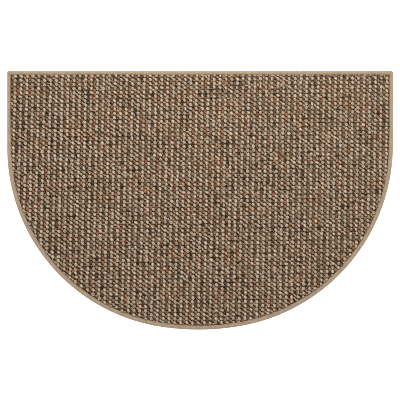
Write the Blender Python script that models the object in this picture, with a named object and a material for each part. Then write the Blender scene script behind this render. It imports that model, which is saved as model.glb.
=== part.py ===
"""A half-round doormat: loop-pile carpet cut to a straight back and a bowed front, its edge bound with tape.

Metres, +Z up. The origin is at the middle of the underside: +X runs along the straight back edge, and +Y
points from the bowed front to that back edge. The mat lies flat on z = 0.
"""

import math

import bmesh
import bpy

# The outline, seen from above. It is a chain of lines and arcs, each tangent to the next: the back edge,
# two straight sides, two shoulders, and the bow that joins them.
WIDTH = 0.600
DEPTH = 0.4026
BOW_RADIUS = 0.377
BOW_SHIFT = -0.0027  # the bow's centre is this far from the middle, as the carpet was cut by hand
LEFT_SHOULDER_RADIUS = 0.282
RIGHT_SHOULDER_RADIUS = 0.286
CORNER_RADIUS = 0.0025  # the two back corners, on the binding's outer face
MITRE_RADIUS = 0.0003  # the same corners where the inset has used the radius up
SHOULDER_STEPS = 27
BOW_STEPS = 9
CORNER_STEPS = 3

# Heights above the floor.
PILE_TOP = 0.0090
EDGE_TOP = 0.0075  # the crown of the bound edge, where the tape squeezes the loops down

# The tape, folded over the edge.
TAPE = 0.0010
REACH_ABOVE = 0.0057  # from the outer face to the tape's inner edge, above and below
REACH_BELOW = 0.0090
NOSE_RADIUS = 0.0024
CROWN_RADIUS = 0.0060  # past the crown the tape falls away towards the pile
NOSE_STEPS = 3
CROWN_STEPS = 3

GAP = 0.0003  # between the tape and the carpet
BACKING_RISE = 0.0020  # the run over which the backing climbs onto the tape's lower edge
PILE_EDGE = 0.0012  # the rounding of the pile where it stands up beside the tape
SHARP_ANGLE = math.radians(40)  # edges sharper than this are not shaded smooth


def clear_scene():
    for found in list(bpy.data.objects):
        bpy.data.objects.remove(found)


def arc(centre, radius, start, end, steps):
    """Points along an arc, its ends included. Angles are in radians, turning from +X to +Y."""
    angles = [start + (end - start) * i / steps for i in range(steps + 1)]
    return [
        (centre[0] + radius * math.cos(a), centre[1] + radius * math.sin(a))
        for a in angles
    ]


def shoulder_centre(side, radius):
    """Where a shoulder's arc touches both its straight side and the bow. side is -1 (left) or 1 (right)."""
    bow_y = BOW_RADIUS - DEPTH / 2
    x = side * (WIDTH / 2 - radius)
    return x, bow_y - math.sqrt((BOW_RADIUS - radius) ** 2 - (x - BOW_SHIFT) ** 2)


def outline(inset):
    """The mat's outline drawn in by inset, anticlockwise from the back edge's left end."""
    bow = (BOW_SHIFT, BOW_RADIUS - DEPTH / 2)
    left = shoulder_centre(-1, LEFT_SHOULDER_RADIUS)
    right = shoulder_centre(1, RIGHT_SHOULDER_RADIUS)
    left_end = math.atan2(left[1] - bow[1], left[0] - bow[0]) + 2 * math.pi
    right_end = math.atan2(right[1] - bow[1], right[0] - bow[0]) + 2 * math.pi
    corner = max(CORNER_RADIUS - inset, MITRE_RADIUS)
    corner_x = WIDTH / 2 - inset - corner
    corner_y = DEPTH / 2 - inset - corner
    quarter = math.pi / 2
    points = arc((-corner_x, corner_y), corner, quarter, 2 * quarter, CORNER_STEPS)
    points += arc(left, LEFT_SHOULDER_RADIUS - inset, math.pi, left_end, SHOULDER_STEPS)
    points += arc(bow, BOW_RADIUS - inset, left_end, right_end, BOW_STEPS)[1:-1]
    points += arc(right, RIGHT_SHOULDER_RADIUS - inset, right_end, 2 * math.pi, SHOULDER_STEPS)
    points += arc((corner_x, corner_y), corner, 0, quarter, CORNER_STEPS)
    return points


def fold(depth):
    """The tape's U section at this depth under its outer face, as (inset, height) from lower to upper end."""
    low, high, crown = NOSE_RADIUS, EDGE_TOP - NOSE_RADIUS, EDGE_TOP - CROWN_RADIUS
    quarter = math.pi / 2
    reach = math.acos((REACH_ABOVE - NOSE_RADIUS) / (CROWN_RADIUS - depth))
    section = [(REACH_BELOW, depth)]
    section += arc((low, low), low - depth, -quarter, -2 * quarter, NOSE_STEPS)
    section += arc((low, high), low - depth, 2 * quarter, quarter, NOSE_STEPS)
    section += arc((low, crown), CROWN_RADIUS - depth, quarter, reach, CROWN_STEPS)[1:]
    return section


def ring(mesh, inset, height):
    return [mesh.verts.new((x, y, height)) for x, y in outline(inset)]


def skin(mesh, lower, upper):
    """Joins two rings of the outline with a band of faces."""
    for i in range(len(lower)):
        mesh.faces.new((lower[i - 1], lower[i], upper[i], upper[i - 1]))


def carpet_section():
    """The carpet's edge from its underside to its pile, as (inset, height)."""
    under = REACH_BELOW + GAP
    above = REACH_ABOVE + GAP
    rim = fold(TAPE + GAP)[1:]
    foot = [(under + BACKING_RISE, 0), (under, TAPE + GAP)]
    step = [(above, rim[-1][1]), (above, PILE_TOP - PILE_EDGE), (above + PILE_EDGE, PILE_TOP)]
    return foot + rim + step


def carpet_mesh():
    """A flat slab whose rim is squeezed thin where the tape holds it."""
    mesh = bmesh.new()
    rings = [ring(mesh, inset, height) for inset, height in carpet_section()]
    for lower, upper in zip(rings, rings[1:]):
        skin(mesh, lower, upper)
    mesh.faces.new(reversed(rings[0]))
    mesh.faces.new(rings[-1])
    return mesh


def binding_mesh():
    """The tape: its U section swept round the outline, with square corners drawn in to a mitre."""
    mesh = bmesh.new()
    section = fold(0) + fold(TAPE)[::-1]
    rings = [ring(mesh, inset, height) for inset, height in section]
    for lower, upper in zip(rings, rings[1:] + rings[:1]):
        skin(mesh, lower, upper)
    return mesh


def linear(channel):
    """A display colour's channel as the shader takes it."""
    return channel / 12.92 if channel <= 0.04045 else ((channel + 0.055) / 1.055) ** 2.4


def cloth_material(name, display_colour, roughness):
    material = bpy.data.materials.new(name)
    material.use_nodes = True
    shader = material.node_tree.nodes["Principled BSDF"]
    shader.inputs["Base Color"].default_value = (*map(linear, display_colour), 1)
    shader.inputs["Roughness"].default_value = roughness
    shader.inputs["Metallic"].default_value = 0
    return material


def add_piece(collection, name, mesh, material):
    bmesh.ops.recalc_face_normals(mesh, faces=mesh.faces)
    data = bpy.data.meshes.new(name)
    mesh.to_mesh(data)
    mesh.free()
    data.materials.append(material)
    data.shade_smooth()
    data.set_sharp_from_angle(angle=SHARP_ANGLE)
    piece = bpy.data.objects.new(name, data)
    collection.objects.link(piece)
    return piece


def main():
    clear_scene()
    doormat = bpy.data.collections.new("doormat")
    bpy.context.scene.collection.children.link(doormat)
    heather = cloth_material("heather_loop_pile", (0.50, 0.43, 0.35), 0.95)
    tan = cloth_material("tan_binding_tape", (0.69, 0.61, 0.51), 0.85)
    add_piece(doormat, "carpet", carpet_mesh(), heather)
    add_piece(doormat, "binding", binding_mesh(), tan)


main()
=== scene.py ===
"""The half-round doormat's looks: loop pile on its backing, bound with tape, under plain studio light.

Metres, +Z up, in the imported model's frame. The mat lies on z = 0, with its straight back edge at +Y.
"""

import math

import bpy
import numpy as np
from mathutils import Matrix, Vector


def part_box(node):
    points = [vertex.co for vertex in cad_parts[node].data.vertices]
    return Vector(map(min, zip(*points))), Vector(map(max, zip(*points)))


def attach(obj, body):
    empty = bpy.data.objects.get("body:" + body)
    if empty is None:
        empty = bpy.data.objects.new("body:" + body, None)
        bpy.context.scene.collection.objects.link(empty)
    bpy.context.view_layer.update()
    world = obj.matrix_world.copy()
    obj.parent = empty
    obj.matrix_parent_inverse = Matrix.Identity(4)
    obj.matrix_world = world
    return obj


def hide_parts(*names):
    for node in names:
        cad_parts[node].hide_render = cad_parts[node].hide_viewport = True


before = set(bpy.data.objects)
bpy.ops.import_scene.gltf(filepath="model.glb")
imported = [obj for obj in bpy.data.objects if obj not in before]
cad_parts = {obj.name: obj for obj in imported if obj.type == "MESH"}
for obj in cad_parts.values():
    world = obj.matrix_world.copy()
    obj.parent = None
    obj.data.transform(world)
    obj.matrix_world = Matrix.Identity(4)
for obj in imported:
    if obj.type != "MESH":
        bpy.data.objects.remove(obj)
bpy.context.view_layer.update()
TAPE_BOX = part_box("binding")
PILE_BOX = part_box("carpet")

SEED = 1437
MM = 0.001

# The outline, as the CAD model has it.
WIDTH = TAPE_BOX[1][0] - TAPE_BOX[0][0]
DEPTH = TAPE_BOX[1][1] - TAPE_BOX[0][1]
BOW_RADIUS = 0.377
BOW_SHIFT = -0.0027
LEFT_SHOULDER_RADIUS = 0.282
RIGHT_SHOULDER_RADIUS = 0.286
CORNER_RADIUS = 0.0025
MITRE_RADIUS = 0.0003
STATION = 0.0028  # the spacing of the tape's cross sections along the edge

# The tape's folded section, as the CAD model has it.
EDGE_TOP = TAPE_BOX[1][2]
PILE_TOP = PILE_BOX[1][2]
TAPE = 0.0010
REACH_BELOW = 0.0090
NOSE_RADIUS = 0.0024
CROWN_RADIUS = 0.0060
GAP = 0.0003
BACKING_RISE = 0.0020

# How the tape is sewn on. The CAD model's reaches as far in along all edges.
REACH_ABOVE = 0.0064  # along the bow
SIDE_NARROWING = 0.0012  # along the two straight sides less of the tape shows
BACK_NARROWING = 0.0005
NARROWING_LEAD = 0.020  # how far below the straight sides the narrowing begins
NARROWING_RUN = 0.050  # and over what height it comes in
STITCH = 0.0036  # from one stitch to the next
SEAMS = (0.0043, 0.0190)  # the seam's two lines, measured round the tape from its lower edge
EDGE_LENGTH = 1.7  # round the mat, about
REACH_SWAY = 0.15 * MM  # how far the tape's inner edge wanders
HEIGHT_SWAY = 0.12 * MM

# The tufting: cream yarn and heather yarn take turns, needle by needle.
COLUMN_PITCH = 0.00907  # from one cream column to the next
ROW_PITCH = 0.00653
COLUMN_START = -0.06  # how far the middle of the mat lies from a cream column and row, in pitches
ROW_START = -0.19
COLUMN_LEAN = 0.0183  # the columns run askew, the left ones more than the right ones
COLUMN_BOW = 0.0281
ROW_RISE = 0.0065
JITTER = 0.24 * MM  # how far a loop strays from its place
LEAN_SPREAD = 0.35 * MM
RISE_SPREAD = 0.22 * MM
GIRTH_SPREAD = 0.05
DYE_SPREAD = 0.025
BANDS = 5  # each yarn's loops are joined into this many pieces
BACKING_TOP = 0.0039  # the top of the cloth in which the loops stand
BACKING_DROP = 0.4 * MM  # how far its rim steps down where it leaves the fold
BACKING_SLOPE = 1.5 * MM  # and over what width it then comes down to its own height
LEG_DEPTH = 1.0 * MM  # how far the loops' legs reach into the backing
LOOP_INSET = 3.6 * MM  # no loop is rooted nearer the edge
PRESSED = 1.0 * MM  # loops rooted nearer than this to the tape's inner edge are pressed down by it
EDGE_RISE = 0.7 * MM  # the width of the strip beside the tape where the loops are held down
BULGE = 0.8 * MM  # how far a loop may lie over the tape
BULGE_RISE = 1.0 * MM  # the height over which it bends outwards
CLEARANCE = 0.1 * MM  # between such a loop and the tape
SPARE = 1.0 * MM  # how far some loops stand above the pile's height


def linear(channel):
    """A display colour's channel as the shader takes it."""
    channel = np.asarray(channel, float)
    return np.where(channel <= 0.04045, channel / 12.92, ((channel + 0.055) / 1.055) ** 2.4)


def display(red, green, blue):
    """A colour given by its display values, from 0 to 255, as the shader takes it."""
    return tuple(float(v) for v in linear([red / 255, green / 255, blue / 255]))


# ---------------------------------------------------------------------------------------------- outline


def arc(centre, radius, start, end, steps):
    """Points along an arc, its ends included. Angles are in radians, turning from +X to +Y."""
    turn = np.linspace(start, end, steps + 1)
    return np.stack([centre[0] + radius * np.cos(turn), centre[1] + radius * np.sin(turn)], 1)


def between(start, end, steps):
    """Points on a straight line, its ends left out."""
    share = np.linspace(0, 1, steps + 1)[1:-1, None]
    return start + (end - start) * share


def shoulder_centre(side, radius):
    """Where a shoulder's arc touches both its straight side and the bow. side is -1 (left) or 1 (right)."""
    bow_y = BOW_RADIUS - DEPTH / 2
    x = side * (WIDTH / 2 - radius)
    return x, bow_y - math.sqrt((BOW_RADIUS - radius) ** 2 - (x - BOW_SHIFT) ** 2)


BOW = (BOW_SHIFT, BOW_RADIUS - DEPTH / 2)
LEFT = shoulder_centre(-1, LEFT_SHOULDER_RADIUS)
RIGHT = shoulder_centre(1, RIGHT_SHOULDER_RADIUS)
LEFT_END = math.atan2(LEFT[1] - BOW[1], LEFT[0] - BOW[0]) + 2 * math.pi
RIGHT_END = math.atan2(RIGHT[1] - BOW[1], RIGHT[0] - BOW[0]) + 2 * math.pi


def lengths(points):
    """How far along a line of points each of them lies."""
    return np.concatenate([[0], np.cumsum(np.hypot(*np.diff(points, axis=0).T))])


def closed_lengths(points):
    """The same for a closed line, with the whole way round as the last number."""
    return lengths(np.concatenate([points, points[:1]]))


def steps_of(length):
    """How many steps a stretch of the edge is cut into."""
    return max(2, round(length / STATION))


def outline(inset):
    """The outline drawn in by inset, anticlockwise from the back edge's left end, always as many points."""
    corner = max(CORNER_RADIUS - inset, MITRE_RADIUS)
    x = WIDTH / 2 - inset - corner
    y = DEPTH / 2 - inset - corner
    quarter = math.pi / 2
    left_corner = arc((-x, y), corner, quarter, 2 * quarter, 4)
    left = arc(LEFT, LEFT_SHOULDER_RADIUS - inset, math.pi, LEFT_END,
               steps_of(LEFT_SHOULDER_RADIUS * (LEFT_END - math.pi)))
    bow = arc(BOW, BOW_RADIUS - inset, LEFT_END, RIGHT_END, steps_of(BOW_RADIUS * (RIGHT_END - LEFT_END)))
    right = arc(RIGHT, RIGHT_SHOULDER_RADIUS - inset, RIGHT_END, 2 * math.pi,
                steps_of(RIGHT_SHOULDER_RADIUS * (2 * math.pi - RIGHT_END)))
    right_corner = arc((x, y), corner, 0, quarter, 4)
    return np.concatenate([
        left_corner,
        between(left_corner[-1], left[0], steps_of(DEPTH / 2 - LEFT[1])),
        left, bow[1:-1], right,
        between(right[-1], right_corner[0], steps_of(DEPTH / 2 - RIGHT[1])),
        right_corner,
        between(right_corner[-1], left_corner[0], steps_of(WIDTH)),
    ])


def edge_distance(x, y):
    """How far inside the outline each point is, and the direction that leads straight inwards."""
    angle = np.arctan2(y - BOW[1], x - BOW[0]) % (2 * math.pi)
    centre_x = np.where(angle < LEFT_END, LEFT[0], np.where(angle > RIGHT_END, RIGHT[0], BOW[0]))
    centre_y = np.where(angle < LEFT_END, LEFT[1], np.where(angle > RIGHT_END, RIGHT[1], BOW[1]))
    radius = np.where(angle < LEFT_END, LEFT_SHOULDER_RADIUS,
                      np.where(angle > RIGHT_END, RIGHT_SHOULDER_RADIUS, BOW_RADIUS))
    away = np.hypot(x - centre_x, y - centre_y) + 1e-12
    inset = radius - away
    inward = np.stack([(centre_x - x) / away, (centre_y - y) / away], -1)
    upright = y > np.where(x < 0, LEFT[1], RIGHT[1])
    inset = np.where(upright, WIDTH / 2 - np.abs(x), inset)
    side = np.stack([-np.sign(x), np.zeros_like(x)], -1)
    inward = np.where(upright[..., None], side, inward)
    back = DEPTH / 2 - y
    inward = np.where((back < inset)[..., None], np.array([0.0, -1.0]), inward)
    return np.minimum(inset, back), inward


def reach_at(x, y):
    """From the outer face to the tape's inner edge, near this point."""
    _, inward = edge_distance(x, y)
    past_shoulder = y - np.where(x < 0, LEFT[1], RIGHT[1])
    fade = np.clip((past_shoulder + NARROWING_LEAD) / NARROWING_RUN, 0, 1)
    sideways = fade * np.abs(inward[..., 0]) ** 8
    back = np.where((inward[..., 1] < -0.99) & (y > 0), 1.0, 0.0)  # where the back edge is the nearest
    return REACH_ABOVE - SIDE_NARROWING * sideways - BACK_NARROWING * back


def fold(depth, reach=REACH_ABOVE, nose_steps=5, crown_steps=4):
    """The tape's U section at this depth under its outer face, as (inset, height) from lower to upper end."""
    low, high, crown = NOSE_RADIUS, EDGE_TOP - NOSE_RADIUS, EDGE_TOP - CROWN_RADIUS
    quarter = math.pi / 2
    end = math.acos((reach - NOSE_RADIUS) / (CROWN_RADIUS - depth))
    return np.concatenate([
        [(REACH_BELOW, depth)],
        arc((low, low), low - depth, -quarter, -2 * quarter, nose_steps),
        arc((low, high), low - depth, 2 * quarter, quarter, nose_steps),
        arc((low, crown), CROWN_RADIUS - depth, quarter, end, crown_steps)[1:],
    ])


# ----------------------------------------------------------------------------------------------- meshes


def add_mesh(name, points, faces):
    """A piece from its points and faces. faces is a list of integer arrays, one face a row."""
    mesh = bpy.data.meshes.new(name)
    corners = np.concatenate([group.ravel() for group in faces])
    sizes = np.concatenate([np.full(len(group), group.shape[1]) for group in faces])
    mesh.vertices.add(len(points))
    mesh.vertices.foreach_set("co", np.ascontiguousarray(points, np.float32).ravel())
    mesh.loops.add(len(corners))
    mesh.loops.foreach_set("vertex_index", corners.astype(np.int32))
    mesh.polygons.add(len(sizes))
    mesh.polygons.foreach_set("loop_start", (np.cumsum(sizes) - sizes).astype(np.int32))
    mesh.update(calc_edges=True)
    mesh.validate()
    mesh.shade_smooth()
    piece = bpy.data.objects.new(name, mesh)
    bpy.context.scene.collection.objects.link(piece)
    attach(piece, "root")
    return piece


def add_map(mesh, name, *places):
    """A map from the places of the faces' corners, in the faces' order."""
    layer = mesh.uv_layers.new(name=name)
    corners = np.concatenate([group.reshape(-1, 2) for group in places])
    layer.uv.foreach_set("vector", corners.astype(np.float32).ravel())


def sweep_faces(rings, sides, closed):
    """Quads that join rings of points, each ring closed. closed joins the last ring to the first too."""
    ring = np.arange(rings if closed else rings - 1)[:, None]
    side = np.arange(sides)[None, :]
    after = (ring + 1) % rings
    beside = (side + 1) % sides
    quads = [ring * sides + side, ring * sides + beside, after * sides + beside, after * sides + side]
    return np.stack(np.broadcast_arrays(*quads), -1).reshape(-1, 4)


# -------------------------------------------------------------------------------------------- materials


SHEEN_ROUGHNESS = 0.6
STRAYING = 18  # how readily fibres stray between the plies, for each part of fleck
RIB = 0.0007  # the spacing of the tape's twill
CROSS_THREAD = 0.0005  # and of the threads across it
WARP = 0.0022  # the spacings of the backing's threads
WEFT = 0.0018
FLOOR_GLOW = 0.75
FLOOR_SHADE = (0.75, 0.75, 0.75)


class Nodes:
    """A material's node tree, with short calls for the nodes that the finishes here use."""

    def __init__(self, name):
        self.material = bpy.data.materials.new(name)
        self.material.use_nodes = True
        self.tree = self.material.node_tree
        self.shader = self.tree.nodes["Principled BSDF"]

    def add(self, kind, **settings):
        """A new node of this kind."""
        node = self.tree.nodes.new(kind)
        for key, value in settings.items():
            setattr(node, key, value)
        return node

    def feed(self, socket, value):
        """Links the value to the socket, or sets it there if it is constant."""
        if isinstance(value, bpy.types.NodeSocket):
            self.tree.links.new(value, socket)
        else:
            socket.default_value = value

    def math(self, operation, first, second=0.0):
        node = self.add("ShaderNodeMath", operation=operation)
        self.feed(node.inputs[0], first)
        self.feed(node.inputs[1], second)
        return node.outputs[0]

    def noise(self, where, scale, detail=2.0, roughness=0.5):
        node = self.add("ShaderNodeTexNoise")
        self.feed(node.inputs["Vector"], where)
        self.feed(node.inputs["Scale"], scale)
        self.feed(node.inputs["Detail"], detail)
        self.feed(node.inputs["Roughness"], roughness)
        return node.outputs["Fac"]

    def spread(self, value, low, high, to_low=0.0, to_high=1.0):
        """Stretches the value's range from low to high over the range from to_low to to_high."""
        node = self.add("ShaderNodeMapRange")
        for socket, number in zip(node.inputs, (value, low, high, to_low, to_high)):
            self.feed(socket, number)
        return node.outputs[0]

    def mix(self, share, first, second):
        """The first colour where share is 0, the second where it is 1."""
        node = self.add("ShaderNodeMix", data_type="RGBA")
        self.feed(node.inputs[0], share)
        for socket, colour in zip((node.inputs[6], node.inputs[7]), (first, second)):
            self.feed(socket, colour if isinstance(colour, bpy.types.NodeSocket) else (*colour, 1))
        return node.outputs[2]

    def place(self):
        """The place on the piece, in metres."""
        return self.add("ShaderNodeTexCoord").outputs["Object"]

    def lay(self, name):
        """The place in the piece's map of this name."""
        return self.add("ShaderNodeUVMap", uv_map=name).outputs["UV"]

    def parts(self, vector):
        """The vector's three numbers."""
        node = self.add("ShaderNodeSeparateXYZ")
        self.feed(node.inputs[0], vector)
        return list(node.outputs)

    def product(self, *factors):
        """The factors multiplied together."""
        total = factors[0]
        for factor in factors[1:]:
            total = self.math("MULTIPLY", total, factor)
        return total

    def swing(self, value, spacing):
        """A sine along the value that comes round once in each spacing."""
        return self.math("SINE", self.math("MULTIPLY", value, 2 * math.pi / spacing))

    def around(self, value, share):
        """The factor by which a noise lightens or darkens a colour, up to this share either way."""
        return self.spread(value, 0.3, 0.7, 1 - share, 1 + share)

    def scaled(self, where, size):
        node = self.add("ShaderNodeVectorMath", operation="MULTIPLY")
        self.feed(node.inputs[0], where)
        node.inputs[1].default_value = size
        return node.outputs[0]

    def tint(self, colour, factor):
        """The colour made lighter or darker by a factor."""
        node = self.add("ShaderNodeVectorMath", operation="SCALE")
        self.feed(node.inputs[0], colour)
        self.feed(node.inputs["Scale"], factor)
        return node.outputs[0]

    def bump(self, height, strength, distance):
        node = self.add("ShaderNodeBump")
        node.inputs["Strength"].default_value = strength
        node.inputs["Distance"].default_value = distance
        self.feed(node.inputs["Height"], height)
        return node.outputs[0]

    def finish(self, colour, roughness, normal, sheen=0.0, specular=0.2):
        """The material, once its shader has been given all this."""
        self.feed(self.shader.inputs["Base Color"], colour)
        self.feed(self.shader.inputs["Roughness"], roughness)
        self.feed(self.shader.inputs["Normal"], normal)
        self.shader.inputs["Sheen Weight"].default_value = sheen
        self.shader.inputs["Sheen Roughness"].default_value = SHEEN_ROUGHNESS
        self.shader.inputs["Specular IOR Level"].default_value = specular
        return self.material


def yarn_material(name, yarn):
    """Four plies that wind round each other, flecked with fibres of other shades, with painted shade in the
    creases between them.
    """
    nodes = Nodes(name)
    dyes = [nodes.add("ShaderNodeAttribute", attribute_name=dye) for dye in DYES]
    first, second, third = [dye.outputs["Vector"] for dye in dyes]
    lay = nodes.lay("yarn")
    around, along, _ = nodes.parts(lay)
    winding = nodes.math("ADD", around, nodes.math("DIVIDE", along, yarn.lead))
    half = nodes.swing(winding, 1.0)
    ply = nodes.math("COSINE", nodes.math("MULTIPLY", winding, 4 * math.pi))
    back = nodes.math("ABSOLUTE", ply)  # 1 along the back of each ply, 0 in the creases between them
    strands = nodes.noise(nodes.scaled(lay, (30, 420, 1)), 1.0, 3.0, 0.65)
    flecks = nodes.noise(nodes.place(), 480.0, 3.0, 0.65)
    stray = nodes.math("MULTIPLY", nodes.math("SUBTRACT", flecks, 0.5), STRAYING * yarn.fleck)
    odd = nodes.mix(nodes.spread(nodes.math("ADD", half, stray), -0.2, 0.2), second, third)
    dye = nodes.mix(nodes.spread(nodes.math("SUBTRACT", ply, stray), -0.2, 0.2), odd, first)
    # painted shade: the creases between the plies are darkened in the colour
    painted_crease_shade = nodes.spread(back, 0.08, 0.6, yarn.crease, 1.0)
    shade = nodes.product(nodes.around(strands, yarn.fleck), nodes.around(flecks, yarn.fleck), painted_crease_shade)
    height = nodes.math("ADD", nodes.math("POWER", back, 0.5), nodes.math("MULTIPLY", strands, 0.55))
    height = nodes.math("ADD", height, nodes.math("MULTIPLY", flecks, 0.35))
    roughness = nodes.spread(strands, 0.3, 0.7, 0.97, 0.85)
    return nodes.finish(nodes.tint(dye, shade), roughness, nodes.bump(height, 1.0, 0.0006),
                        sheen=0.04, specular=0.1)


def stitches(nodes, along, across):
    """1 where a stitch of the seam lies: dashes in two lines, one on each arm of the tape."""
    dash = nodes.spread(nodes.swing(along, STITCH), -0.6, -0.2)
    lines = [nodes.math("ABSOLUTE", nodes.math("SUBTRACT", across, line)) for line in SEAMS]
    thread = nodes.spread(nodes.math("MINIMUM", *lines), 0.0003, 0.0005, 1.0, 0.0)
    return nodes.math("MULTIPLY", dash, thread)


def tape_material():
    """Woven tape: fine ribs along and across, a little mottled, sewn through with thread of its colour."""
    nodes = Nodes("tan_binding_tape")
    along, across, _ = nodes.parts(nodes.lay("tape"))
    place = nodes.place()
    twill = nodes.swing(nodes.math("ADD", along, across), RIB)
    cross = nodes.swing(along, CROSS_THREAD)
    weave = nodes.math("ADD", nodes.math("MULTIPLY", twill, 0.7), nodes.math("MULTIPLY", cross, 0.3))
    fuzz = nodes.noise(place, 1800.0, 3.0, 0.6)
    mottle = nodes.noise(place, 160.0, 3.0, 0.55)
    stitch = stitches(nodes, along, across)
    height = nodes.math("ADD", weave, nodes.math("MULTIPLY", fuzz, 1.2))
    height = nodes.math("ADD", height, nodes.math("MULTIPLY", stitch, 3.0))
    ribs = nodes.spread(weave, -1.0, 1.0, 0.90, 1.06)
    shade = nodes.product(ribs, nodes.around(fuzz, 0.07), nodes.around(mottle, 0.07))
    colour = nodes.mix(nodes.spread(mottle, 0.35, 0.65), display(153, 134, 110), display(161, 139, 115))
    colour = nodes.mix(stitch, colour, display(144, 125, 100))
    roughness = nodes.spread(fuzz, 0.3, 0.7, 0.9, 0.72)
    return nodes.finish(nodes.tint(colour, shade), roughness, nodes.bump(height, 0.35, 0.0001), sheen=0.1)


def backing_material():
    """The woven backing: brown and latex-stiff where the loops stand in it, a brown made deep to paint the
    shade down among the loops; jute-coloured underneath.
    """
    nodes = Nodes("woven_backing")
    place = nodes.place()
    across, along, height = nodes.parts(place)
    weave = nodes.math("MULTIPLY", nodes.swing(across, WARP), nodes.swing(along, WEFT))
    fuzz = nodes.noise(place, 1200.0, 3.0, 0.6)
    low = nodes.spread(height, 0.0008, 0.0012, 1.0, 0.0)
    # the upper brown is the backing's own colour, deepened into painted shade of the pile's depths
    colour = nodes.mix(low, display(112, 76, 42), display(170, 150, 118))
    shade = nodes.product(nodes.spread(weave, -1.0, 1.0, 0.85, 1.1), nodes.around(fuzz, 0.15))
    relief = nodes.math("ADD", weave, nodes.math("MULTIPLY", fuzz, 0.6))
    roughness = nodes.spread(fuzz, 0.3, 0.7, 0.95, 0.8)
    return nodes.finish(nodes.tint(colour, shade), roughness, nodes.bump(relief, 0.6, 0.0003))


def floor_material():
    """A pale floor that glows, so that it looks white and takes no shadow."""
    nodes = Nodes("studio_floor")
    grain = nodes.noise(nodes.place(), 40.0)
    shade = nodes.spread(grain, 0.3, 0.7, 0.985, 1.0)
    nodes.shader.inputs["Emission Color"].default_value = (1, 1, 1, 1)
    nodes.shader.inputs["Emission Strength"].default_value = FLOOR_GLOW
    return nodes.finish(nodes.tint(FLOOR_SHADE, shade), 0.9, nodes.bump(grain, 0.02, 0.001), specular=0.0)


# ------------------------------------------------------------------------------------------------- yarn

# The points' colours: each ply's dye with the painted shade at the roots multiplied in.
DYES = ["first_dye", "second_dye_and_root_shade", "third_dye_and_root_shade"]
# What the plies of each yarn are dyed, and how often each dye is met. Every other ply takes the first
# list's dye. The two plies between take one of the second list's and one of the third's.
PALE_CREAM = [((181, 169, 151), 3), ((173, 161, 141), 3), ((188, 176, 159), 2), ((164, 151, 131), 2)]
SANDY_CREAM = [((181, 169, 151), 3), ((158, 142, 121), 3), ((141, 123, 102), 2), ((169, 154, 134), 2)]
CREAM = [PALE_CREAM, PALE_CREAM, SANDY_CREAM]
BEIGE = [((166, 143, 119), 4), ((152, 128, 104), 3), ((179, 159, 135), 2), ((136, 112, 90), 3),
         ((92, 72, 56), 1)]
BROWN = [((106, 82, 64), 4), ((84, 62, 47), 2), ((42, 30, 22), 3), ((126, 100, 80), 4), ((139, 95, 71), 1)]
RUST = [((121, 95, 75), 4), ((141, 92, 66), 3), ((164, 108, 77), 1), ((48, 34, 26), 2), ((140, 114, 93), 3)]
HEATHER = [BEIGE, BROWN, RUST]
SIDES = 10  # of the yarn's cross section
RINGS = 7  # cross sections from one leg of a loop to the other
ROOT_SHADE_FADE = 0.8  # how the painted shade at the roots fades upwards, as a power of the depth
PHASES = 0.1  # metres of yarn over which the loops' beginnings are spread
FIBRE_LAYS = 89  # how many lays of fibres the loops take in turn

# Each loop's cell in the map for baking: the unrolled yarn, and above it the loop's two ends.
CELL_MARGIN = 0.06
YARN_TOP = 0.84
END_RADIUS = 0.035
END_PLACES = ((0.3, 0.93), (0.7, 0.93))


class Yarn:
    """One of the two yarns and how it is tufted."""

    def __init__(self, name, radius, half_arch, top, lead, turn, turn_spread, lean, painted_root_shade, crease,
                 fleck, change, warming):
        self.name = name
        self.radius = radius
        self.half_arch = half_arch  # half the distance between the loop's legs
        self.top = top
        self.lead = lead  # the length of yarn in which the plies go once round each other
        self.turn = turn  # how far the loop stands turned out of its column
        self.turn_spread = turn_spread
        self.lean = lean  # how far the crown leans from over the root
        self.painted_root_shade = painted_root_shade  # painted shade: the yarn's colour is made deeper down at its roots, where shade falls in the pile
        self.crease = crease  # how much light the painted shade in the creases between the plies leaves
        self.fleck = fleck  # how far the fibres' shades differ
        self.change = change  # how often a ply's dye changes from one loop to the next
        self.warming = warming  # how the dyes shift where the yarn runs warm

    def path(self):
        """The loop's middle line as (along, height), its outward directions and its length at each ring."""
        bend = np.radians(np.linspace(-90, 90, RINGS))
        crown = self.top - self.radius - self.half_arch
        line = np.stack([self.half_arch * np.sin(bend), crown + self.half_arch * np.cos(bend)], 1)
        out = np.stack([np.sin(bend), np.cos(bend)], 1)
        line[[0, -1], 1] = BACKING_TOP - LEG_DEPTH
        length = lengths(line)
        length -= length[-1] / 2
        return line, out, length


CREAM_YARN = Yarn(
    "cream", radius=2.30 * MM, half_arch=1.20 * MM, top=PILE_TOP, lead=22.0 * MM,
    turn=math.radians(32), turn_spread=math.radians(14), lean=(0.1 * MM, -0.2 * MM),
    painted_root_shade=(0.84, 0.69, 0.52), crease=0.68, fleck=0.26, change=0.9, warming=(0.010, 0.0, -0.015))
HEATHER_YARN = Yarn(
    "heather", radius=2.10 * MM, half_arch=1.25 * MM, top=PILE_TOP - 0.7 * MM, lead=14.0 * MM,
    turn=math.radians(32), turn_spread=math.radians(20), lean=(1.2 * MM, -0.2 * MM),
    painted_root_shade=(0.80, 0.56, 0.35), crease=0.56, fleck=0.38, change=0.95, warming=(0.05, -0.01, -0.04))


def placed(columns, rows):
    """Where the needles put their loops. The cloth isn't quite square: columns lean and rows climb."""
    x = COLUMN_PITCH * (columns - COLUMN_START)
    y = -ROW_PITCH * (rows - ROW_START)
    return x + COLUMN_LEAN * (1 - x) * y - COLUMN_BOW * x * x, y + ROW_RISE * x


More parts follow.
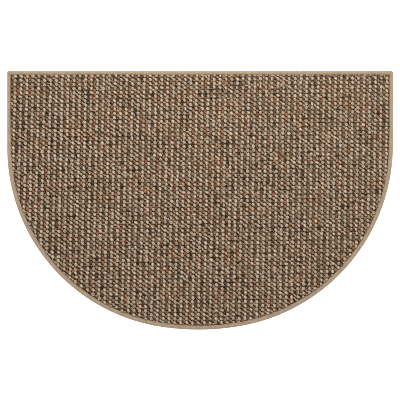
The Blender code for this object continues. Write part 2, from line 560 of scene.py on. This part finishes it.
def dye_runs(rng, columns, rows, palette, change):
    """A ply's dye for each loop of each column. The ply keeps its dye for a loop or a few, then changes."""
    dyes, shares = zip(*palette)
    runs = np.zeros((rows, columns), int)
    for row in range(rows):
        fresh = rng.choice(len(dyes), columns, p=np.array(shares) / sum(shares))
        keep = rng.random(columns) > change
        runs[row] = np.where(keep & (row > 0), runs[row - 1], fresh)
    return np.asarray([display(*dye) for dye in dyes])[runs]


def loop_points(yarn, x, y, rng):
    """Each loop's points, (loops, rings, sides, 3). The loops differ in girth, height, lean and turn."""
    count = len(x)
    line, out, _ = yarn.path()
    around = -np.radians(360 / SIDES * (np.arange(SIDES) + 0.5))
    girth = rng.normal(1.0, GIRTH_SPREAD, (count, 1, 1))
    flat = rng.normal(1.0, GIRTH_SPREAD, (count, 1, 1))
    across = yarn.radius * np.cos(around) * girth * flat
    outward = yarn.radius * np.sin(around) * girth / flat
    along = line[:, 0][None, :, None] + outward * out[:, 0][None, :, None]
    height = line[:, 1][None, :, None] + outward * out[:, 1][None, :, None]
    rise = rng.normal(0, RISE_SPREAD, (count, 1, 1)) / yarn.top
    share = np.clip((height - BACKING_TOP) / (yarn.top - BACKING_TOP), 0, 1)
    height = height * (1 + rise * share)
    lean_x = rng.normal(yarn.lean[0], LEAN_SPREAD, (count, 1, 1)) * share
    lean_y = rng.normal(yarn.lean[1], LEAN_SPREAD, (count, 1, 1)) * share
    turn = rng.normal(yarn.turn, yarn.turn_spread, (count, 1, 1))
    points_x = x[:, None, None] + across * np.cos(turn) - along * np.sin(turn) + lean_x
    points_y = y[:, None, None] + across * np.sin(turn) + along * np.cos(turn) + lean_y
    return np.stack([points_x, points_y, height], -1)


def tape_height(inset, depth=0.0):
    """The height of the tape's upper arm at this inset, at this depth under its face."""
    held = np.clip(inset, NOSE_RADIUS, REACH_ABOVE)
    return EDGE_TOP - CROWN_RADIUS + np.sqrt((CROWN_RADIUS - depth) ** 2 - (held - NOSE_RADIUS) ** 2)


def pressed_by_tape(points):
    """Loops that the tape's inner edge crosses: what is under the tape is pressed down below it."""
    tallest = PILE_TOP + SPARE
    inset, _ = edge_distance(points[..., 0], points[..., 1])
    reach = reach_at(points[..., 0], points[..., 1])
    free = np.sin(np.clip((inset - reach) / EDGE_RISE, 0, 1) * math.pi / 2)
    under = tape_height(inset, TAPE) - GAP
    limit = under + (tallest - under) * free
    above = np.clip(points[..., 2] - BACKING_TOP, 0, None)
    squeeze = np.minimum((limit - BACKING_TOP) / (tallest - BACKING_TOP), 1)
    points[..., 2] = np.minimum(points[..., 2], BACKING_TOP + above * squeeze)
    return points


def beside_tape(points, rng):
    """Loops just inside the tape: their legs keep clear of it and their crowns bulge over its edge."""
    inset, inward = edge_distance(points[..., 0], points[..., 1])
    reach = reach_at(points[..., 0], points[..., 1])
    bulge = rng.uniform(0.0, 1.0, (len(points), 1, 1)) * BULGE
    nearest = reach + GAP - bulge * np.clip((points[..., 2] - EDGE_TOP + BULGE_RISE) / BULGE_RISE, 0, 1)
    drawn = np.maximum(inset, nearest)
    points[..., :2] += inward * (drawn - inset)[..., None]
    over = np.where(drawn < reach + GAP, tape_height(drawn) + CLEARANCE, 0)
    points[..., 2] = np.maximum(points[..., 2], over)
    return points


def pile_faces(count, rings, sides):
    """The quads of count loops and the two faces that close each."""
    one = sweep_faces(rings, sides, closed=False)
    shift = (np.arange(count) * rings * sides)[:, None, None]
    quads = (one[None] + shift).reshape(-1, 4)
    ends = np.stack([np.arange(sides)[::-1], (rings - 1) * sides + np.arange(sides)])
    return quads, (ends[None] + shift).reshape(-1, sides)


def unrolled(rings, sides):
    """Where the corners of each quad lie on the unrolled yarn: how far round it, and at which ring."""
    ring = np.repeat(np.arange(rings - 1), sides)
    side = np.tile(np.arange(sides), rings - 1)
    round_it = np.stack([side, side + 1, side + 1, side], 1) / sides
    at_ring = np.stack([ring, ring, ring + 1, ring + 1], 1)
    return round_it, at_ring


def add_dyes_and_root_shade(mesh, yarn, points, dyes):
    """Each ply's dye at every point, with painted shade that deepens it down at the roots."""
    height = np.clip((points[..., 2] - BACKING_TOP) / (yarn.top - BACKING_TOP), 0, 1)[..., None]
    # painted shade: the dye is darkened and warmed towards the roots
    tint = 1 - (1 - np.asarray(yarn.painted_root_shade)) * (1 - height) ** ROOT_SHADE_FADE
    for ply, name in enumerate(DYES):
        colours = dyes[:, ply][:, None, None] * tint
        layer = mesh.attributes.new(name, "FLOAT_VECTOR", "POINT")
        layer.data.foreach_set("vector", colours.astype(np.float32).ravel())


def add_bake_map(mesh, count, rings, sides):
    """A map that gives each loop a cell of its own."""
    grid = math.ceil(math.sqrt(count))
    cell = np.arange(count)
    corner = (np.stack([cell % grid, cell // grid], 1) / grid)[:, None, None]
    round_it, at_ring = unrolled(rings, sides)
    strip = np.stack([round_it, at_ring / (rings - 1)], -1)
    strip = CELL_MARGIN + strip * (1 - 2 * CELL_MARGIN, YARN_TOP - CELL_MARGIN)
    fan = np.linspace(0, 2 * math.pi, sides, endpoint=False)
    disc = END_RADIUS * np.stack([np.cos(fan), np.sin(fan)], 1)
    ends = np.stack([disc[::-1] + END_PLACES[0], disc + END_PLACES[1]])
    add_map(mesh, "OFBake", corner + strip / grid, corner + ends / grid)


def add_yarn_map(mesh, yarn, phase, rings, sides):
    """A map for the plies: how many times round the yarn, and how far along it in metres."""
    round_it, at_ring = unrolled(rings, sides)
    lay = np.stack([round_it, yarn.path()[2][at_ring]], -1)
    turns = np.arange(len(phase)) % FIBRE_LAYS  # whole turns change the fibres and leave the plies alone
    drift = np.stack([turns, phase], 1)[:, None, None]
    add_map(mesh, "yarn", lay + drift, np.zeros((2 * len(phase) * sides, 2)))


def pile_piece(name, yarn, points, dyes, phase, material):
    """A joined mesh of loops with their dyes and maps."""
    count, rings, sides, _ = points.shape
    piece = add_mesh(name, points.reshape(-1, 3), pile_faces(count, rings, sides))
    add_dyes_and_root_shade(piece.data, yarn, points, dyes)
    add_bake_map(piece.data, count, rings, sides)
    add_yarn_map(piece.data, yarn, phase, rings, sides)
    piece.data.materials.append(material)
    return piece


class Patches:
    """A smooth random field over the mat, about as large as 1: a sum of waves that run in all directions."""

    def __init__(self, rng, waves=40, shortest=0.009, longest=0.090):
        turn = rng.uniform(0, math.pi, waves)
        length = shortest * (longest / shortest) ** rng.random(waves)
        self.waves = np.stack([np.cos(turn), np.sin(turn)]) * 2 * math.pi / length
        self.start = rng.uniform(0, 2 * math.pi, waves)

    def __call__(self, x, y):
        waves = np.stack([x, y], -1) @ self.waves + self.start
        return np.cos(waves).sum(-1) / math.sqrt(len(self.start) / 2)


def plan_loops(yarn, shift, palettes, warmth, rng):
    """Where the yarn's loops are rooted, and each loop's three dyes. shift is in columns and in rows."""
    reach_x = math.ceil(WIDTH / 2 / COLUMN_PITCH) + 1  # in columns
    reach_y = math.ceil(DEPTH / 2 / ROW_PITCH) + 1  # in rows
    columns = np.arange(-reach_x, reach_x + 1) + shift
    rows = np.arange(-reach_y, reach_y + 1) + shift
    runs = [dye_runs(rng, len(columns), len(rows), palette, yarn.change) for palette in palettes]
    x, y = placed(*np.meshgrid(columns, rows))
    x = x + rng.normal(0, JITTER, x.shape)
    y = y + rng.normal(0, JITTER, y.shape)
    inset, _ = edge_distance(x, y)
    kept = inset > LOOP_INSET
    x, y = x[kept], y[kept]
    dyes = np.stack([run[kept] for run in runs], 1)
    dyes *= rng.normal(1.0, DYE_SPREAD, (len(x), len(DYES), 1))
    dyes *= 1 + warmth(x, y)[:, None, None] * np.array(yarn.warming)
    return x, y, dyes


def tuft(yarn, shift, palettes, warmth, rng):
    """Tufts one yarn over the whole mat, in bands of rows, each a piece."""
    x, y, dyes = plan_loops(yarn, shift, palettes, warmth, rng)
    points = loop_points(yarn, x, y, rng)
    inset, _ = edge_distance(x, y)
    crossed = inset < reach_at(x, y) + PRESSED
    points[crossed] = pressed_by_tape(points[crossed])
    points[~crossed] = beside_tape(points[~crossed], rng)
    phase = rng.uniform(0, PHASES, len(x))
    material = yarn_material(yarn.name + "_yarn", yarn)
    order = np.argsort(-y)
    pieces = []
    for band, chosen in enumerate(np.array_split(order, BANDS)):
        name = "%s_loops_%d" % (yarn.name, band + 1)
        pieces.append(pile_piece(name, yarn, points[chosen], dyes[chosen], phase[chosen], material))
    return pieces


# ------------------------------------------------------------------------------------ backing and tape


def add_backing():
    """The backing cloth, flat on the floor. Its rim climbs onto the tape's lower arm and fills the fold."""
    under = REACH_BELOW + GAP
    narrowest = REACH_ABOVE - SIDE_NARROWING
    rim = fold(TAPE + GAP, narrowest)[1:]
    above = narrowest + GAP
    section = np.concatenate([
        [(under + BACKING_RISE, 0), (under, TAPE + GAP)],
        rim,
        [(above, rim[-1][1] - BACKING_DROP), (above + BACKING_SLOPE, BACKING_TOP)],
    ])
    around = len(outline(0))
    rings = [np.column_stack([outline(inset), np.full(around, height)]) for inset, height in section]
    points = np.concatenate(rings)
    quads = sweep_faces(len(rings), around, closed=False)
    last = (len(rings) - 1) * around
    ends = np.stack([np.arange(around)[::-1], last + np.arange(around)])
    piece = add_mesh("backing", points, [quads, ends])
    piece.data.set_sharp_from_angle(angle=math.radians(40))
    piece.data.materials.append(backing_material())
    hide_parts("carpet")
    return piece


def wander(length, count, rng, waves=9, longest=0.5, quicker=1.6, weaker=0.35):
    """A smooth seeded wave along a closed edge, about as large as 1. Each wave is quicker than the last."""
    where = np.linspace(0, 2 * math.pi, count, endpoint=False)
    total = np.zeros(count)
    for wave in range(waves):
        turns = round(length / longest * quicker ** wave)
        total += rng.normal() * np.sin(turns * where + rng.uniform(0, 2 * math.pi)) / (1 + weaker * wave)
    return total / 2


def tape_points(sections, swell):
    """The sections set round the edge, (stations, sides, 3). swell lifts and lowers the upper arm."""
    points = np.empty((*sections.shape[:2], 3))
    for side in range(sections.shape[1]):
        insets = sections[:, side, 0]
        least, most = insets.min(), insets.max() + 1e-6
        share = ((insets - least) / (most - least))[:, None]
        points[:, side, :2] = outline(least) * (1 - share) + outline(most) * share
    upper = np.clip((sections[..., 1] - 3 * MM) / (4 * MM), 0, 1)
    points[..., 2] = sections[..., 1] + upper * swell[:, None] * HEIGHT_SWAY
    return points


def add_tape_map(mesh, run, across):
    """A map in metres: along the edge, and round the section."""
    around, sides = len(run) - 1, len(across) - 1
    station = np.repeat(np.arange(around), sides)
    side = np.tile(np.arange(sides), around)
    u = np.stack([run[station], run[station], run[station + 1], run[station + 1]], 1)
    v = np.stack([across[side], across[side + 1], across[side + 1], across[side]], 1)
    add_map(mesh, "tape", np.stack([u, v], -1)[:, ::-1])


def add_tape(rng):
    """The tape: its U section swept round the edge, a little uneven in its reach and its height."""
    edge = outline(0)
    around = len(edge)
    inner = edge * 0.9999  # just inside the outline
    reach = reach_at(inner[:, 0], inner[:, 1]) + REACH_SWAY * wander(EDGE_LENGTH, around, rng)
    sections = np.stack([np.concatenate([fold(0, here), fold(TAPE, here)[::-1]]) for here in reach])
    run = closed_lengths(edge)
    points = tape_points(sections, wander(run[-1], around, rng))
    quads = sweep_faces(around, sections.shape[1], closed=True)[:, ::-1]
    piece = add_mesh("binding_tape", points.reshape(-1, 3), [quads])
    piece.data.set_sharp_from_angle(angle=math.radians(50))
    add_tape_map(piece.data, run, closed_lengths(sections[0]))
    piece.data.materials.append(tape_material())
    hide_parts("binding")
    return piece


# ------------------------------------------------------------------------------------------------ stage

FLOOR_RADIUS = 28.0
FLOOR_RIM = 2.5
FLOOR_SIDES = 48
FLOOR_DROP = 0.0001  # it lies just below the mat's underside
SKY = 0.76
SOFTBOX_PLACE = (0.0, 0.60, 0.95)  # above and behind the back edge
SOFTBOX_SIZE = 0.36
SOFTBOX_POWER = 9.4
LENS = 0.300
SENSOR = 0.036
VIEW_WIDTH = 0.62196  # what the picture spans at the mat's height
VIEW_HEIGHT = 0.006
VIEW_CENTRE = (-0.00014, 0.00034)
FILTER_WIDTH = 0.96  # in picture points


def add_floor():
    """A pale round floor whose far edge turns up, so that a low camera sees no end to it."""
    mesh = bpy.data.meshes.new("floor")
    edge = arc((0, 0), FLOOR_RADIUS, 0, 2 * math.pi, FLOOR_SIDES)[:-1]
    points = [(x, y, height) for height in (0, FLOOR_RIM) for x, y in edge]
    around = sweep_faces(2, FLOOR_SIDES, closed=False)[:, ::-1]
    mesh.from_pydata(points, [], [tuple(range(FLOOR_SIDES)), *around.tolist()])
    mesh.materials.append(floor_material())
    floor = bpy.data.objects.new("floor", mesh)
    bpy.context.scene.collection.objects.link(floor)
    floor.location.z = -FLOOR_DROP


def add_light():
    """An even white sky and one softbox."""
    world = bpy.data.worlds.new("studio")
    world.use_nodes = True
    world.node_tree.nodes["Background"].inputs["Color"].default_value = (1, 1, 1, 1)
    world.node_tree.nodes["Background"].inputs["Strength"].default_value = SKY
    bpy.context.scene.world = world
    softbox = bpy.data.lights.new("softbox", "AREA")
    softbox.shape = "SQUARE"
    softbox.size = SOFTBOX_SIZE
    softbox.energy = SOFTBOX_POWER
    key = bpy.data.objects.new("softbox", softbox)
    key.location = SOFTBOX_PLACE
    key.rotation_euler = (-Vector(SOFTBOX_PLACE)).to_track_quat("-Z", "Y").to_euler()
    key.visible_camera = False
    bpy.context.scene.collection.objects.link(key)


def add_camera():
    """A long lens straight above the mat."""
    camera = bpy.data.cameras.new("camera")
    camera.sensor_width = SENSOR * 1000
    camera.lens = LENS * 1000
    camera.clip_end = 1000
    seen_from = bpy.data.objects.new("camera", camera)
    seen_from.location = (*VIEW_CENTRE, VIEW_HEIGHT + VIEW_WIDTH * LENS / SENSOR)
    bpy.context.scene.collection.objects.link(seen_from)
    bpy.context.scene.camera = seen_from
    bpy.context.scene.view_settings.view_transform = "Standard"
    bpy.context.scene.cycles.filter_width = FILTER_WIDTH
    bpy.context.scene.cycles.use_denoising = False  # it would smooth the yarn away


# ----------------------------------------------------------------------------------------------- making


def main():
    rng = np.random.default_rng(SEED)
    add_camera()
    add_light()
    add_floor()
    backing = add_backing()
    tape = add_tape(rng)
    warmth = Patches(rng)
    pile = tuft(CREAM_YARN, 0.0, CREAM, warmth, rng)
    pile += tuft(HEATHER_YARN, 0.5, HEATHER, warmth, rng)


main()
